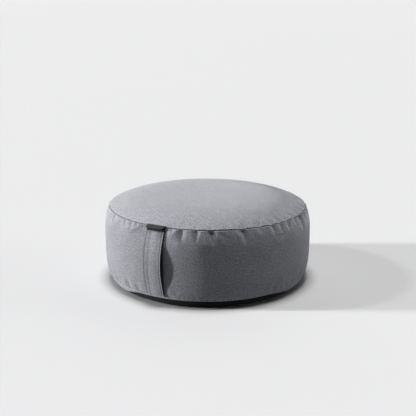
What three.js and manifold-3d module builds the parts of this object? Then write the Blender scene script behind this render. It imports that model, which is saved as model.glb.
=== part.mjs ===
// A round meditation cushion (zafu): one filled body with a crowned top, a gathered side band and drawn-in
// seams, a black non-slip base, a carry handle sewn into both seams, and a folded tab over its top end.
// Millimetres, +Z up. The origin is the middle of the base, on the floor, and the handle is on the -Y side.
import * as THREE from "three";
import { mergeVertices } from "three/addons/utils/BufferGeometryUtils.js";
import Module from "manifold-3d";

// Driving dimensions of the filled body
const HEIGHT = 150;
const WIDEST_RADIUS = 180;
const WIDEST_Z = 72;
const TOP_SEAM = { radius: 171.8, z: 131.4, tilt: 1.1, highestAt: -62 }; // sewn a little unevenly
const BOTTOM_SEAM = { radius: 175.4, z: 17 };
const CROWN_POWER = 4.6; // how flat the crown stays before it turns down to the seam
const UPPER_BULGE_POWER = 3.7;
const LOWER_BULGE_POWER = 2.9;
const SEAM_DEPTH = 1.6;
const SEAM_LIP = 1.3; // height of the cloth that turns in on each side of a seam
const LIP_SET_BACK = 0.4; // how far the cloth has turned in at a lip
const RIM_BOTTOM = { radius: 172, z: 12.2 }; // where the grey cloth ends above the base

// The base: a shallow dish of non-slip cloth
const BASE = { thickness: 2.6, floorRadius: 157, edgeRadius: 171.6, edgeZ: 11.8 };
const FIT_GAP = 0.3; // clear space between two pieces

// The handle: a flat strap whose outer face bows off the straight line between its ends
const HANDLE = {
  width: 33,
  thickness: 1.8,
  top: { radius: 172.4, z: 128.6 },
  bottom: { radius: 176.8, z: 17.6 },
  bow: 13.5,
  fullestShare: 0.45, // how far down the bow is fullest
  sewnIn: 3.5,
};
const PRESSED_PAST = 1; // degrees past the handle's edge that the band it presses on stays as low
const PRESSED_MARGIN = 4; // degrees over which it then recovers

// The tab's middle line goes out of the top seam and down over the handle to its fold.
const TAB = {
  width: 33,
  thickness: 1.4,
  foldThickness: 2.6,
  sewnIn: 2.5,
  shoulder: { radius: 173.4, z: 131.2 },
  fold: { radius: 176.2, z: 125.8 },
};

// The gathers that the front shows: where each one lies (degrees from the handle, anticlockwise from above),
// how deep it is under the top seam, how far it runs down the band, how deep it is on the top panel, and half
// its width in degrees.
const FRONT_GATHERS = [
  { at: -60, depth: 2, reach: 22, panelDepth: 0.6, halfWidth: 2.4 },
  { at: -48, depth: 1.4, reach: 18, panelDepth: 0.5, halfWidth: 2.2 },
  { at: -36, depth: 2.6, reach: 28, panelDepth: 0.9, halfWidth: 2.4 },
  { at: -25, depth: 2, reach: 22, panelDepth: 0.8, halfWidth: 2.2 },
  { at: -19, depth: 2.2, reach: 22, panelDepth: 0.7, halfWidth: 2.2 },
  { at: -13.5, depth: 1.8, reach: 18, panelDepth: 0.5, halfWidth: 2.2 },
  { at: 14.5, depth: 2.2, reach: 18, panelDepth: 0.4, halfWidth: 2 },
  { at: 22.5, depth: 2.8, reach: 22, panelDepth: 0.4, halfWidth: 2.2 },
  { at: 30.5, depth: 3.6, reach: 28, panelDepth: 0.5, halfWidth: 2.2 },
  { at: 47, depth: 3.6, reach: 24, panelDepth: 1.1, halfWidth: 2.6 },
  { at: 55.5, depth: 1.5, reach: 18, panelDepth: 0.5, halfWidth: 2.2 },
  { at: 61, depth: 1.8, reach: 20, panelDepth: 0.9, halfWidth: 2 },
  { at: 66, depth: 2.2, reach: 22, panelDepth: 0.8, halfWidth: 2 },
  { at: 71.5, depth: 2.4, reach: 22, panelDepth: 1.1, halfWidth: 2 },
  { at: 76.5, depth: 2.2, reach: 24, panelDepth: 1.4, halfWidth: 2 },
  { at: 83, depth: 2.2, reach: 24, panelDepth: 1.2, halfWidth: 2.2 },
  { at: 92.5, depth: 3.6, reach: 32, panelDepth: 1.4, halfWidth: 2.4 },
  { at: 99, depth: 2.2, reach: 24, panelDepth: 1.2, halfWidth: 2 },
  { at: 107, depth: 2.4, reach: 26, panelDepth: 1.1, halfWidth: 2.2 },
];
const BACK_GATHERS = { count: 23, depth: 2.5, reach: 24, panelDepth: 1, halfWidth: 2.2 };
const LOW_GATHERS = { count: 38, depth: 1.6, reach: 20, halfWidth: 2.2 };
const UNEVEN = { spacing: 0.25, depth: 0.4, reach: 0.3 }; // how much those two rows vary, as shares
const PANEL_REACH = 20; // how far a gather runs on to the top panel

// Where the meshes are sampled
const CROWN_RADII = [60, 108, 138, 155, 165];
const BAND_HEIGHTS = [2.2, 7, 15, 32, 54, 76, 91, 101, 108, 112.2]; // over the bottom seam
const WIDEST_COLUMN = 4.4; // degrees between two columns of the filled body, at most
const BASE_COLUMNS = 72;
const BASE_TURNS = [0, 35, 65, 90]; // degrees round the base's rounded edge
const HANDLE_STEPS = 20;
const TAB_STEPS = 5;
const EDGE_CORNERS = 3; // round the edge of a strap

const wasm = await Module();
wasm.setup();

const radians = (degrees) => (degrees * Math.PI) / 180;
const degreesApart = (a, b) => Math.abs(((((a - b + 180) % 360) + 360) % 360) - 180);
const fade = (t) => (t <= 0 ? 1 : t >= 1 ? 0 : 0.5 + 0.5 * Math.cos(Math.PI * t));
const between = (a, b, share) => a + (b - a) * share;

// An uneven but repeatable number from -1 to 1 for the n-th gather.
const uneven = (n) => Math.sin(n * 12.9898) * Math.cos(n * 4.137);

// The point at a radius and a height, at an angle from the handle.
function place({ radius, z }, angle) {
  return [radius * Math.sin(radians(angle)), -radius * Math.cos(radians(angle)), z];
}

function backGathers() {
  const { count, depth, reach, panelDepth, halfWidth } = BACK_GATHERS;
  const first = FRONT_GATHERS.at(-1).at;
  const pitch = (FRONT_GATHERS[0].at + 360 - first) / (count + 1);
  return Array.from({ length: count }, (_, i) => ({
    at: first + pitch * (i + 1 + UNEVEN.spacing * uneven(i + 1)),
    depth: depth * (1 + UNEVEN.depth * uneven(i + 7)),
    reach: reach * (1 + UNEVEN.reach * uneven(i + 13)),
    panelDepth: panelDepth * (1 + UNEVEN.depth * uneven(i + 19)),
    halfWidth,
  }));
}

function lowGathers() {
  const { count, depth, reach, halfWidth } = LOW_GATHERS;
  return Array.from({ length: count }, (_, i) => ({
    at: (360 / count) * (i + 0.5 + UNEVEN.spacing * uneven(i + 31)),
    depth: depth * (1 + UNEVEN.depth * uneven(i + 37)),
    reach: reach * (1 + UNEVEN.reach * uneven(i + 43)),
    halfWidth,
  }));
}

const topGathers = [...FRONT_GATHERS, ...backGathers()];
const bottomGathers = lowGathers();

// Columns of the filled body, in degrees: the middle and both shoulders of each gather, then more wherever
// two are too far apart.
function bodyColumns() {
  const marked = topGathers.flatMap((g) => [g.at, g.at - g.halfWidth, g.at + g.halfWidth]);
  const sorted = marked.map((a) => (a + 360) % 360).sort((a, b) => a - b);
  const apart = sorted.filter((a, i) => i === 0 || a - sorted[i - 1] > 1);
  return apart.flatMap((a, i) => {
    const next = i + 1 < apart.length ? apart[i + 1] : apart[0] + 360;
    const steps = Math.ceil((next - a) / WIDEST_COLUMN);
    return Array.from({ length: steps }, (_, k) => between(a, next, k / steps));
  });
}

// The band's radius at a height, without its gathers.
function bandRadius(z) {
  const above = z > WIDEST_Z;
  const seam = above ? TOP_SEAM : BOTTOM_SEAM;
  const share = Math.min(Math.abs((z - WIDEST_Z) / (seam.z - WIDEST_Z)), 1);
  const power = above ? UPPER_BULGE_POWER : LOWER_BULGE_POWER;
  return WIDEST_RADIUS - (WIDEST_RADIUS - seam.radius) * share ** power;
}

function crownHeight(radius) {
  return between(HEIGHT, TOP_SEAM.z, (radius / TOP_SEAM.radius) ** CROWN_POWER);
}

// How much higher the top seam lies at an angle than its mean.
const seamLift = (angle) => TOP_SEAM.tilt * Math.cos(radians(angle - TOP_SEAM.highestAt));

// How far a list of gathers pulls the cloth in, at an angle and at a distance from their seam.
function pulledIn(gathers, angle, distance, depthOf, reachOf) {
  return gathers.reduce((sum, g) => {
    const across = fade(degreesApart(angle, g.at) / g.halfWidth);
    const along = Math.sin((Math.PI / 2) * fade(distance / reachOf(g)));
    return sum + depthOf(g) * across * along;
  }, 0);
}

// The radius of the handle's outer face at a height.
function handleRadius(z) {
  const { top, bottom, bow, fullestShare } = HANDLE;
  const share = (top.z - z) / (top.z - bottom.z);
  const turn =
    share < fullestShare ? (0.5 * share) / fullestShare : 1 - (0.5 * (1 - share)) / (1 - fullestShare);
  return between(top.radius, bottom.radius, share) + bow * Math.sin(Math.PI * Math.min(Math.max(turn, 0), 1));
}

// How far the handle presses the band in, at an angle and a height.
function pressedIn(angle, z) {
  const halfAngle = (HANDLE.width / 2 / WIDEST_RADIUS) * (180 / Math.PI) + PRESSED_PAST;
  const overlap = bandRadius(z) + FIT_GAP + HANDLE.thickness - handleRadius(z);
  return Math.max(overlap, 0) * fade((degreesApart(angle, 0) - halfAngle) / PRESSED_MARGIN);
}

// The base's outer face from its edge down to the flat, moved in by a thickness.
function baseProfile(inset) {
  const { floorRadius, edgeRadius, edgeZ } = BASE;
  return BASE_TURNS.map((turn) => ({
    radius: floorRadius + (edgeRadius - floorRadius - inset) * Math.cos(radians(turn)),
    z: edgeZ - (edgeZ - inset) * Math.sin(radians(turn)),
  }));
}

// The filled body's rings from the crown down to the flat inside the base, as functions of the angle.
function bodyRings() {
  const crown = CROWN_RADII.map((radius) => (angle) => {
    const inFromSeam = TOP_SEAM.radius - radius;
    const pucker = pulledIn(topGathers, angle, inFromSeam, (g) => g.panelDepth, () => PANEL_REACH);
    return { radius, z: crownHeight(radius) - pucker + seamLift(angle) * (radius / TOP_SEAM.radius) ** 2 };
  });
  const topSeam = [
    (angle) => ({ radius: TOP_SEAM.radius - LIP_SET_BACK, z: TOP_SEAM.z + SEAM_LIP + seamLift(angle) }),
    (angle) => ({ radius: TOP_SEAM.radius - SEAM_DEPTH, z: TOP_SEAM.z + seamLift(angle) }),
  ];
  const band = BAND_HEIGHTS.toReversed().map((up) => (angle) => {
    const z = BOTTOM_SEAM.z + up;
    const fromTop = pulledIn(topGathers, angle, TOP_SEAM.z - z, (g) => g.depth, (g) => g.reach);
    const fromBottom = pulledIn(bottomGathers, angle, up, (g) => g.depth, (g) => g.reach);
    const lift = seamLift(angle) * (up / (TOP_SEAM.z - BOTTOM_SEAM.z));
    return { radius: bandRadius(z) - pressedIn(angle, z) - fromTop - fromBottom, z: z + lift };
  });
  const bottomSeam = [
    { radius: BOTTOM_SEAM.radius - SEAM_DEPTH, z: BOTTOM_SEAM.z },
    { radius: BOTTOM_SEAM.radius - LIP_SET_BACK, z: BOTTOM_SEAM.z - SEAM_LIP },
    RIM_BOTTOM,
  ];
  const insideBase = baseProfile(BASE.thickness + FIT_GAP);
  return [...crown, ...topSeam, ...band, ...[...bottomSeam, ...insideBase].map((point) => () => point)];
}

// A closed mesh from rings of points, capped at both ends by a middle point.
function closedRings(rings, firstMiddle, lastMiddle) {
  const around = rings[0].length;
  const last = (rings.length - 1) * around;
  const count = rings.length * around;
  const faces = [];
  for (let i = 0; i < around; i++) {
    const next = (i + 1) % around;
    for (let start = 0; start < last; start += around) {
      faces.push(start + i, start + i + around, start + next);
      faces.push(start + next, start + i + around, start + next + around);
    }
    faces.push(count, i, next, count + 1, last + next, last + i);
  }
  const geometry = new THREE.BufferGeometry();
  const points = [...rings.flat(), firstMiddle, lastMiddle].flat();
  geometry.setAttribute("position", new THREE.Float32BufferAttribute(points, 3));
  geometry.setIndex(faces);
  return geometry;
}

function filledBody() {
  const angles = bodyColumns();
  const rings = bodyRings().map((ring) => angles.map((angle) => place(ring(angle), angle)));
  return closedRings(rings, [0, 0, HEIGHT], [0, 0, BASE.thickness + FIT_GAP]);
}

function base() {
  const angles = Array.from({ length: BASE_COLUMNS }, (_, i) => (i * 360) / BASE_COLUMNS);
  const profile = [...baseProfile(BASE.thickness).reverse(), ...baseProfile(0)];
  const rings = profile.map((point) => angles.map((angle) => place(point, angle)));
  return closedRings(rings, [0, 0, BASE.thickness], [0, 0, 0]);
}

// A flat strap's section with rounded edges, as distances across the strap and out of it.
function strapSection(width, thickness) {
  const half = thickness / 2;
  const edge = Array.from({ length: EDGE_CORNERS }, (_, i) => {
    const turn = radians(-90 + (180 * (i + 0.5)) / EDGE_CORNERS);
    return { across: width / 2 - half + half * Math.cos(turn), out: half * Math.sin(turn) };
  });
  const inner = [-width / 5, width / 5].map((across) => ({ across, out: -half }));
  const oneSide = [...inner, ...edge];
  return [...oneSide, ...oneSide.map(({ across, out }) => ({ across: -across, out: -out }))];
}

// A strap swept along a line in the plane X = 0. Each station has a radius, a height, a thickness and how far
// the strap's width is bent to the round of the cushion, from 0 to 1.
function sweptStrap(stations, width) {
  const rings = stations.map(({ radius, z, thickness, bend }, i) => {
    const from = stations[Math.max(i - 1, 0)];
    const to = stations[Math.min(i + 1, stations.length - 1)];
    const run = new THREE.Vector2(to.radius - from.radius, to.z - from.z).normalize();
    return strapSection(width, thickness).map(({ across, out }) => {
      const drop = (bend * across ** 2) / (2 * WIDEST_RADIUS);
      return [-across, -(radius - out * run.y - drop), z + out * run.x];
    });
  });
  const middle = ({ radius, z }) => [0, -radius, z];
  return closedRings(rings, middle(stations[0]), middle(stations.at(-1)));
}

// The handle from inside the top seam to inside the bottom seam, with all its sides moved out by a margin.
function handleStrap(margin) {
  const { top, bottom, thickness, width, sewnIn } = HANDLE;
  const outside = Array.from({ length: HANDLE_STEPS + 1 }, (_, i) => {
    const z = between(top.z, bottom.z, i / HANDLE_STEPS);
    const bend = 1 - Math.sin((Math.PI * i) / HANDLE_STEPS);
    return { radius: handleRadius(z) - thickness / 2, z, thickness: thickness + 2 * margin, bend };
  });
  const sewn = (station) => ({ ...station, radius: station.radius - sewnIn - margin });
  return sweptStrap([sewn(outside[0]), ...outside, sewn(outside.at(-1))], width + 2 * margin);
}

// The tab from inside the top seam to its fold, with all its sides moved out by a margin.
function tabFlap(margin) {
  const { width, thickness, foldThickness, sewnIn, shoulder, fold } = TAB;
  const z = TOP_SEAM.z + seamLift(0);
  const line = new THREE.QuadraticBezierCurve(
    new THREE.Vector2(TOP_SEAM.radius, z),
    new THREE.Vector2(shoulder.radius, shoulder.z),
    new THREE.Vector2(fold.radius, fold.z),
  );
  const outside = line.getPoints(TAB_STEPS).map((point, i) => ({
    radius: point.x,
    z: point.y,
    thickness: between(thickness, foldThickness, i / TAB_STEPS) + 2 * margin,
    bend: 1,
  }));
  const sewn = { ...outside[0], radius: TOP_SEAM.radius - sewnIn - margin };
  return sweptStrap([sewn, ...outside], width + 2 * margin);
}

function solidOf(geometry) {
  const merged = mergeVertices(geometry, 1e-3);
  const vertProperties = merged.attributes.position.array;
  const triVerts = new Uint32Array(merged.index.array);
  return new wasm.Manifold(new wasm.Mesh({ numProp: 3, vertProperties, triVerts }));
}

function geometryOf(solid) {
  const mesh = solid.getMesh();
  const geometry = new THREE.BufferGeometry();
  geometry.setAttribute("position", new THREE.BufferAttribute(mesh.vertProperties, 3));
  geometry.setIndex(new THREE.BufferAttribute(mesh.triVerts, 1));
  return geometry;
}

// The filled body, open where the handle's ends and the tab are sewn into its seams.
function cushion() {
  const sewnInSpace = solidOf(handleStrap(FIT_GAP)).add(solidOf(tabFlap(FIT_GAP)));
  return geometryOf(solidOf(filledBody()).subtract(sewnInSpace));
}

function piece(name, geometry, color, roughness) {
  const mesh = new THREE.Mesh(geometry, new THREE.MeshStandardMaterial({ color, roughness, metalness: 0 }));
  mesh.name = name;
  return mesh;
}

const GREY_CLOTH = 0x8e9198;
const BLACK_CLOTH = 0x161718;
const CHARCOAL_TAPE = 0x3a3d40;

const zafu = new THREE.Group();
zafu.add(
  piece("cushion", cushion(), GREY_CLOTH, 0.9),
  piece("base", base(), BLACK_CLOTH, 0.8),
  piece("carry_handle", handleStrap(0), GREY_CLOTH, 0.9),
  piece("tab", tabFlap(0), CHARCOAL_TAPE, 0.6),
);

export default zafu;
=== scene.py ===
"""The looks of a round meditation cushion (zafu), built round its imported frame.

Lengths are in millimetres and angles in degrees, up to where a mesh is made in metres. Directions round the
cushion are counted from its handle, anticlockwise from above.
"""
import math
from collections import namedtuple

import bpy
import numpy as np
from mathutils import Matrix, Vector


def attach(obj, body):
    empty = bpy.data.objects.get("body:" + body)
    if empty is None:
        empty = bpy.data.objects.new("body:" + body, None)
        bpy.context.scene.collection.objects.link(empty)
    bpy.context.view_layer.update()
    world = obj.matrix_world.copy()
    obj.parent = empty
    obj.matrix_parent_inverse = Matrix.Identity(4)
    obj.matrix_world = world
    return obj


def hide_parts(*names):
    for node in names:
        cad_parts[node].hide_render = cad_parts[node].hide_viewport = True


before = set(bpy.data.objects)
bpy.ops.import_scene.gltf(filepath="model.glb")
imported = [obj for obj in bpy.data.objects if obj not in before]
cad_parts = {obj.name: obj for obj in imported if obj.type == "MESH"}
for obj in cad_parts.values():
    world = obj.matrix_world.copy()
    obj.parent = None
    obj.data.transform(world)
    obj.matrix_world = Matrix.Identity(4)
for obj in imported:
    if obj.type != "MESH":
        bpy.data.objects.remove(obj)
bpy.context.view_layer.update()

MM = 0.001

# The filled body's profile, as in the solids
HEIGHT = 150
WIDEST_RADIUS = 180
WIDEST_Z = 72
TOP_SEAM_RADIUS = 171.8
TOP_SEAM_Z = 131.4
TOP_SEAM_TILT = 1.1
TOP_SEAM_HIGHEST_AT = -62
BOTTOM_SEAM_RADIUS = 175.4
BOTTOM_SEAM_Z = 17
CROWN_POWER = 4.6
UPPER_BULGE_POWER = 3.7
LOWER_BULGE_POWER = 2.9
RIM_BOTTOM = (172, 12.2)

# The base, and how far the grey rim sags over its edge, in degrees of the edge's quarter turn
BASE_THICKNESS = 2.6
BASE_FLOOR_RADIUS = 157
BASE_EDGE_RADIUS = 171.6
BASE_EDGE_Z = 11.8
BASE_INNER_FLAT = 145
BASE_OUTER_FLAT = 150
BASE_LIP_RISE = 0.25
BASE_COLUMNS = 240
BASE_INNER_TURNS = (90, 70, 50, 30, 10, 0)
BASE_OUTER_TURNS = (0, 12, 24, 36, 48, 60, 75, 90)
BASE_CAP = [(110, 120), (70, 60), (30, 30)]
# The base's black edge reaches further out right of the handle: painted shadow standing in for the contact
# shadow on the floor
SHADOW_SPREAD = 6
SHADOW_SPREAD_AT = 11
SHADOW_SPREAD_HALF_WIDTH = 22
FIT_GAP = 0.3
SKIRT_TURNS = (0, 13, 26, 39, 52, 65, 78, 90)
SAG_LEFT = -8
SAG_LEFT_RUN = 24
SAG_RIGHT = 60
SAG_RIGHT_RUN = 34
SAG_TURN = 76
SAG_WAVES = [(3, 5, 0), (2, 11, 40)]  # depth, waves round the cushion and phase

# The handle: width, thickness, sewn ends as (radius, z), bow, and the share of its length where it bows most
HANDLE_WIDTH = 33
HANDLE_THICKNESS = 1.8
HANDLE_TOP = (172.4, 128.6)
HANDLE_BOTTOM = (176.8, 17.6)
HANDLE_BOW = 12.3
HANDLE_FULLEST_SHARE = 0.49
HANDLE_LENGTH = 116
HANDLE_SEWN_IN = 3.5
STRAP_STATIONS = 120
STRAP_ACROSS = 34
STRAP_INNER_STEP = 3  # the inner face has one point for this many on the outer one
ROUND_EDGE_TURNS = (80, 40, 0, -40, -80)
# Painted shade on the handle's end under the tab: how far down it reaches and its fade
UNDER_TAB_SHADE_LENGTH = 3.8
UNDER_TAB_SHADE_FADE = 0.5

# The handle's folds as (depth, middle, half width), across it from its middle and along it as shares
STRAP_VALLEY = (0.3, -6.7, 2.6)
STRAP_RIDGE = (0.45, 4, 6)
TOP_BULGE_ALONG = (0.5, 0.1, 0.07)
TOP_BULGE_ACROSS = (1, 3, 6)

# The handle's two rows of stitches, at distances from its edges
LEFT_STITCH = 2.6
RIGHT_STITCH = 3.4
LEFT_STITCH_FAINTER = 0.6
STITCH_PITCH = 3.4
STITCH_LENGTH = 2.7
THREAD_RADIUS = 0.28
THREAD_LIFT = 0.1
STITCH_GROOVE = 0.35
STITCH_GROOVE_HALF_WIDTH = 0.7
STITCH_PUCKER = 0.05
STITCHED_LENGTH = 111
STITCHED_SHARES = (0.045, 0.985)
STITCH_LINE_POINTS = 140
STITCH_RINGS = [(-0.5, 0.35), (-0.42, 0.85), (-0.2, 1), (0.2, 1), (0.42, 0.85), (0.5, 0.35)]  # place and size
STITCH_SIDES = 6
STITCH_SINK = 1.6

# Where the band is pressed in and kept clear behind the handle, and where painted shade darkens it there:
# degrees round, then heights
HANDLE_SIDE_ROOM = 1
PRESS_FADE = 8
CLEAR_FADE = 3
PAINTED_SHADE_HALF_ANGLE = 4.9
PAINTED_SHADE_FADE = 0.9
HANDLE_CLEARANCE = 0.5
CLEAR_FROM_Z = 19
CLEAR_TO_Z = 127
PAINTED_SHADE_TOP = (129, 3)  # z and the run over which it fades
PAINTED_SHADE_BOTTOM = (24, 6)

# The tab's line in the plane of its middle: radius and z, from inside the seam to the fold and back
TAB_LINE = [
    (169.0, 132.7), (171.2, 132.9), (172.5, 132.6), (173.5, 131.8), (174.5, 130.8), (175.4, 129.8),
    (175.8, 129.1), (175.6, 128.5), (175.0, 128.2), (174.4, 128.5), (173.8, 129.2), (173.0, 130.2),
    (172.2, 130.9), (171.2, 131.4), (169.0, 131.5),
]
TAB_WIDTH = 33
TAB_THICKNESS = 0.8
TAB_RIGHT = 17.4
TAB_BEVEL = 5.0
TAB_BEND_RADIUS = 174
TAB_STATIONS = 60
TAB_COLUMNS = 26
TAB_ROUND_EDGE = (60, 0, -60)
TAB_TOP_SHADE = (0.45, 2.5, 3)  # how much painted shade darkens the tab beside the seam, how far from it, and the fade
CURVE_STEPS = 8

# Where the filled body is sampled: distances from the top seam, then shares of the rim under the bottom seam
COLUMNS = 384
PANEL_STEPS = [0.7, 1.4, 2.3, 3.4, 5, 7, 9.5, 12.5, 16, 20, 25, 31, 39, 49, 62, 78]
BAND_STEPS = [0.7, 1.4, 2.3, 3.4, 5, 7, 9.5, 12.5, 16, 20, 24.5, 30, 37, 45, 54, 63, 72, 80, 87, 93, 98]
BAND_STEPS += [102, 105, 107.5, 109.5, 111, 112.2, 113.1, 113.8]
RIM_STEPS = [0.25, 0.5, 0.75, 1]
CROWN_CAP = [(72, 192), (52, 96), (32, 48), (14, 24)]  # radius and columns of the rings inside the panel's
UNDER_CAP = [(120, 192), (80, 96), (45, 48), (18, 24)]
PANEL, BAND, UNDER, SKIRT = range(4)

# How folds fall off along and across their length, and how much deeper each kind is than its listed depth
FOLD_RISE = 2.5
FOLD_WIDTH = 1.5
FOLD_NARROWING = 0.55
FOLD_ACROSS_POWER = 1.7
FOLD_ALONG_POWER = 0.9
TOP_PULL = 2.0
LOW_PULL = 1.5
PANEL_PULL = 1.9
PANEL_REACH = 20

# The seams' grooves as (depth, distance from the seam, half width), and the fuller lip under the top seam
TOP_GROOVE = (2.4, 0, 0.8)
BOTTOM_GROOVE = (1.4, 0, 0.8)
TOP_LIP = (-0.45, 2.4, 1.1)

# The band stands out a little beside the handle's upper end
PUFF = 2.6
PUFF_AT = 9
PUFF_HALF_WIDTH = 4.2
PUFF_BELOW_SEAM = 9
PUFF_REACH = 10

# The cloth simulation: how much wider than its seams the cloth is cut, as (share, run), and its frames
TOP_SLACK = (0.055, 9)
BOTTOM_SLACK = (0.015, 8)
PANEL_SLACK = (0.035, 9)
MOST_SLACK = 0.06
PANEL_SLACK_LEFT = 0.25
SLACK_FULL_AT = 95
SLACK_FULL_WITHIN = 35
SLACK_FADE = 20
HELD_BY_SEAM = 1.5
HELD_FADE = 5.0
HELD_CROWN_RADIUS = 70
FILL_FRAMES = 20
MOST_SETTLING = 4

# Cloth coordinates: the panels lie apart from the band, and their weave runs at its own angle
PANEL_CLOTH_AT = 1000
UNDER_CLOTH_AT = 2000
PANEL_WEAVE_TURN = 17
PANEL_STRETCH = 0.03
FAR_FROM_SEAM = 80
NO_SEAM_NEAR = 0.05  # metres
BOTTOM_SEAM_FAINT = 0.3
BOTTOM_SEAM_FAINTER = 0.8
FAINTER_FROM_0_TO = 25  # degrees

Gather = namedtuple("Gather", "at depth reach panel_depth half_width lean")
Profile = namedtuple("Profile", "radius z out_radius out_z from_top from_bottom part")

# The gathers that the front shows. Half_width, at the seam, and lean, on the way down, are in degrees
FRONT_GATHERS = [
    Gather(-60, 1.2, 30, 0.3, 2.4, 0.5),
    Gather(-48, 0.7, 26, 0.2, 2.2, 0.5),
    Gather(-34.7, 1.3, 32, 0.4, 2.4, 1.0),
    Gather(-22.2, 1.0, 25, 0.4, 2.2, 0.6),
    Gather(-16.9, 1.0, 23, 0.3, 2.0, 0.4),
    Gather(-12.8, 0.8, 20, 0.3, 2.0, 0.2),
    Gather(9.5, 0.8, 12, 0.2, 1.8, 0.3),
    Gather(14.7, 2.4, 23, 0.2, 2.3, 0.8),
    Gather(22.4, 2.0, 21, 0.2, 2.1, 0.5),
    Gather(30.2, 3.7, 30, 0.4, 2.6, 1.4),
    Gather(44, 0.8, 14, 0.5, 1.6, 0.4),
    Gather(46.8, 3.1, 27, 1.2, 2.4, 2.0),
    Gather(57, 1.0, 14, 1.0, 2.2, 0.3),
    Gather(65.5, 1.9, 21, 1.4, 2.0, 0.3),
    Gather(71.2, 1.7, 20, 1.8, 2.0, 0.4),
    Gather(77.4, 1.8, 23, 2.0, 2.0, 0.3),
    Gather(84.5, 1.6, 20, 1.7, 2.0, 0.6),
    Gather(91.8, 3.6, 30, 1.8, 2.6, 1.2),
    Gather(99, 2.0, 22, 1.7, 2.2, 0.6),
    Gather(107.5, 2.2, 22, 1.6, 2.3, 0.6),
]
LOW_FRONT_GATHERS = [
    Gather(-30.2, 1.3, 16, 0, 2.0, -1.2),
    Gather(-26.5, 0.9, 13, 0, 1.8, -0.8),
    Gather(-18.8, 2.0, 20, 0, 2.4, -1.8),
    Gather(-11.2, 1.6, 15, 0, 2.2, -1.4),
    Gather(66.3, 1.7, 16, 0, 2.0, -1.0),
    Gather(71, 0.9, 12, 0, 1.8, -0.6),
    Gather(76, 1.6, 15, 0, 2.0, -1.6),
    Gather(80.9, 1.2, 13, 0, 1.9, -0.8),
]

# The gathers on the rest of the round: how many, the usual one, and the seeds of each one's differences
BACK_GATHERS = (23, Gather(0, 2.5, 24, 1.0, 2.2, 1.2), (1, 7, 13, 19, 23))
LOW_BACK_GATHERS = (30, Gather(0, 1.5, 16, 0, 2.1, 1.5), (31, 37, 43, 19, 47))
UNEVEN_PLACE = 0.25
UNEVEN_DEPTH = 0.4
UNEVEN_REACH = 0.3


def radians(degrees):
    return degrees * math.pi / 180


def fade(t):
    return np.where(t <= 0, 1, np.where(t >= 1, 0, 0.5 + 0.5 * np.cos(np.pi * np.clip(t, 0, 1))))


def bell(run, depth, middle, half_width):
    return depth * np.exp(-(((run - middle) / half_width) ** 2))


def degrees_apart(a, b):
    return np.abs((a - b + 180) % 360 - 180)


def signed(angle):
    return (np.asarray(angle, float) + 180) % 360 - 180


def uneven(n):
    """A fixed number from -1 to 1 that looks random."""
    return math.sin(n * 12.9898) * math.cos(n * 4.137)


def with_back(shown, count, usual, seeds):
    """The gathers that the front shows, and the ones between the last and first of them."""
    first = shown[-1].at
    pitch = (shown[0].at + 360 - first) / (count + 1)
    place, depth, reach, panel, lean = seeds
    made = []
    for i in range(count):
        made.append(
            Gather(
                first + pitch * (i + 1 + UNEVEN_PLACE * uneven(i + place)),
                usual.depth * (1 + UNEVEN_DEPTH * uneven(i + depth)),
                usual.reach * (1 + UNEVEN_REACH * uneven(i + reach)),
                usual.panel_depth * (1 + UNEVEN_DEPTH * uneven(i + panel)),
                usual.half_width,
                usual.lean * uneven(i + lean),
            )
        )
    return shown + made


def band_radius(z):
    above = (z - WIDEST_Z) / (TOP_SEAM_Z - WIDEST_Z)
    below = (WIDEST_Z - z) / (WIDEST_Z - BOTTOM_SEAM_Z)
    share = np.clip(np.where(z > WIDEST_Z, above, below), 0, 1)
    upper = WIDEST_RADIUS - (WIDEST_RADIUS - TOP_SEAM_RADIUS) * share**UPPER_BULGE_POWER
    lower = WIDEST_RADIUS - (WIDEST_RADIUS - BOTTOM_SEAM_RADIUS) * share**LOWER_BULGE_POWER
    return np.where(z > WIDEST_Z, upper, lower)


def crown_height(radius):
    return HEIGHT + (TOP_SEAM_Z - HEIGHT) * (radius / TOP_SEAM_RADIUS) ** CROWN_POWER


def handle_radius(z):
    """The radius of the handle's outer face at a height."""
    share = (HANDLE_TOP[1] - z) / (HANDLE_TOP[1] - HANDLE_BOTTOM[1])
    turn = np.where(
        share < HANDLE_FULLEST_SHARE,
        0.5 * share / HANDLE_FULLEST_SHARE,
        1 - 0.5 * (1 - share) / (1 - HANDLE_FULLEST_SHARE),
    )
    straight = HANDLE_TOP[0] + (HANDLE_BOTTOM[0] - HANDLE_TOP[0]) * share
    return straight + HANDLE_BOW * np.sin(np.pi * np.clip(turn, 0, 1))


def beside_handle(angle, fade_width):
    """1 behind the handle, falling to 0 over a width in degrees on either side of it."""
    half_angle = HANDLE_WIDTH / 2 / WIDEST_RADIUS * 180 / math.pi + HANDLE_SIDE_ROOM
    return fade((degrees_apart(angle, 0) - half_angle) / fade_width)


def pressed_in(angle, z):
    """How far the handle's sewn ends press into the band."""
    overlap = band_radius(z) + FIT_GAP + HANDLE_THICKNESS - handle_radius(z)
    return np.maximum(overlap, 0) * beside_handle(angle, PRESS_FADE)


def base_profile(inset, turns, floor_radius=BASE_FLOOR_RADIUS):
    """The base's rounded edge as (radius, z), by quarter-turn degrees from its rim down to the floor."""
    turns = np.radians(turns)
    radius = floor_radius + (BASE_EDGE_RADIUS - floor_radius - inset) * np.cos(turns)
    z = BASE_EDGE_Z - (BASE_EDGE_Z - inset) * np.sin(turns)
    return radius, z


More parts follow.
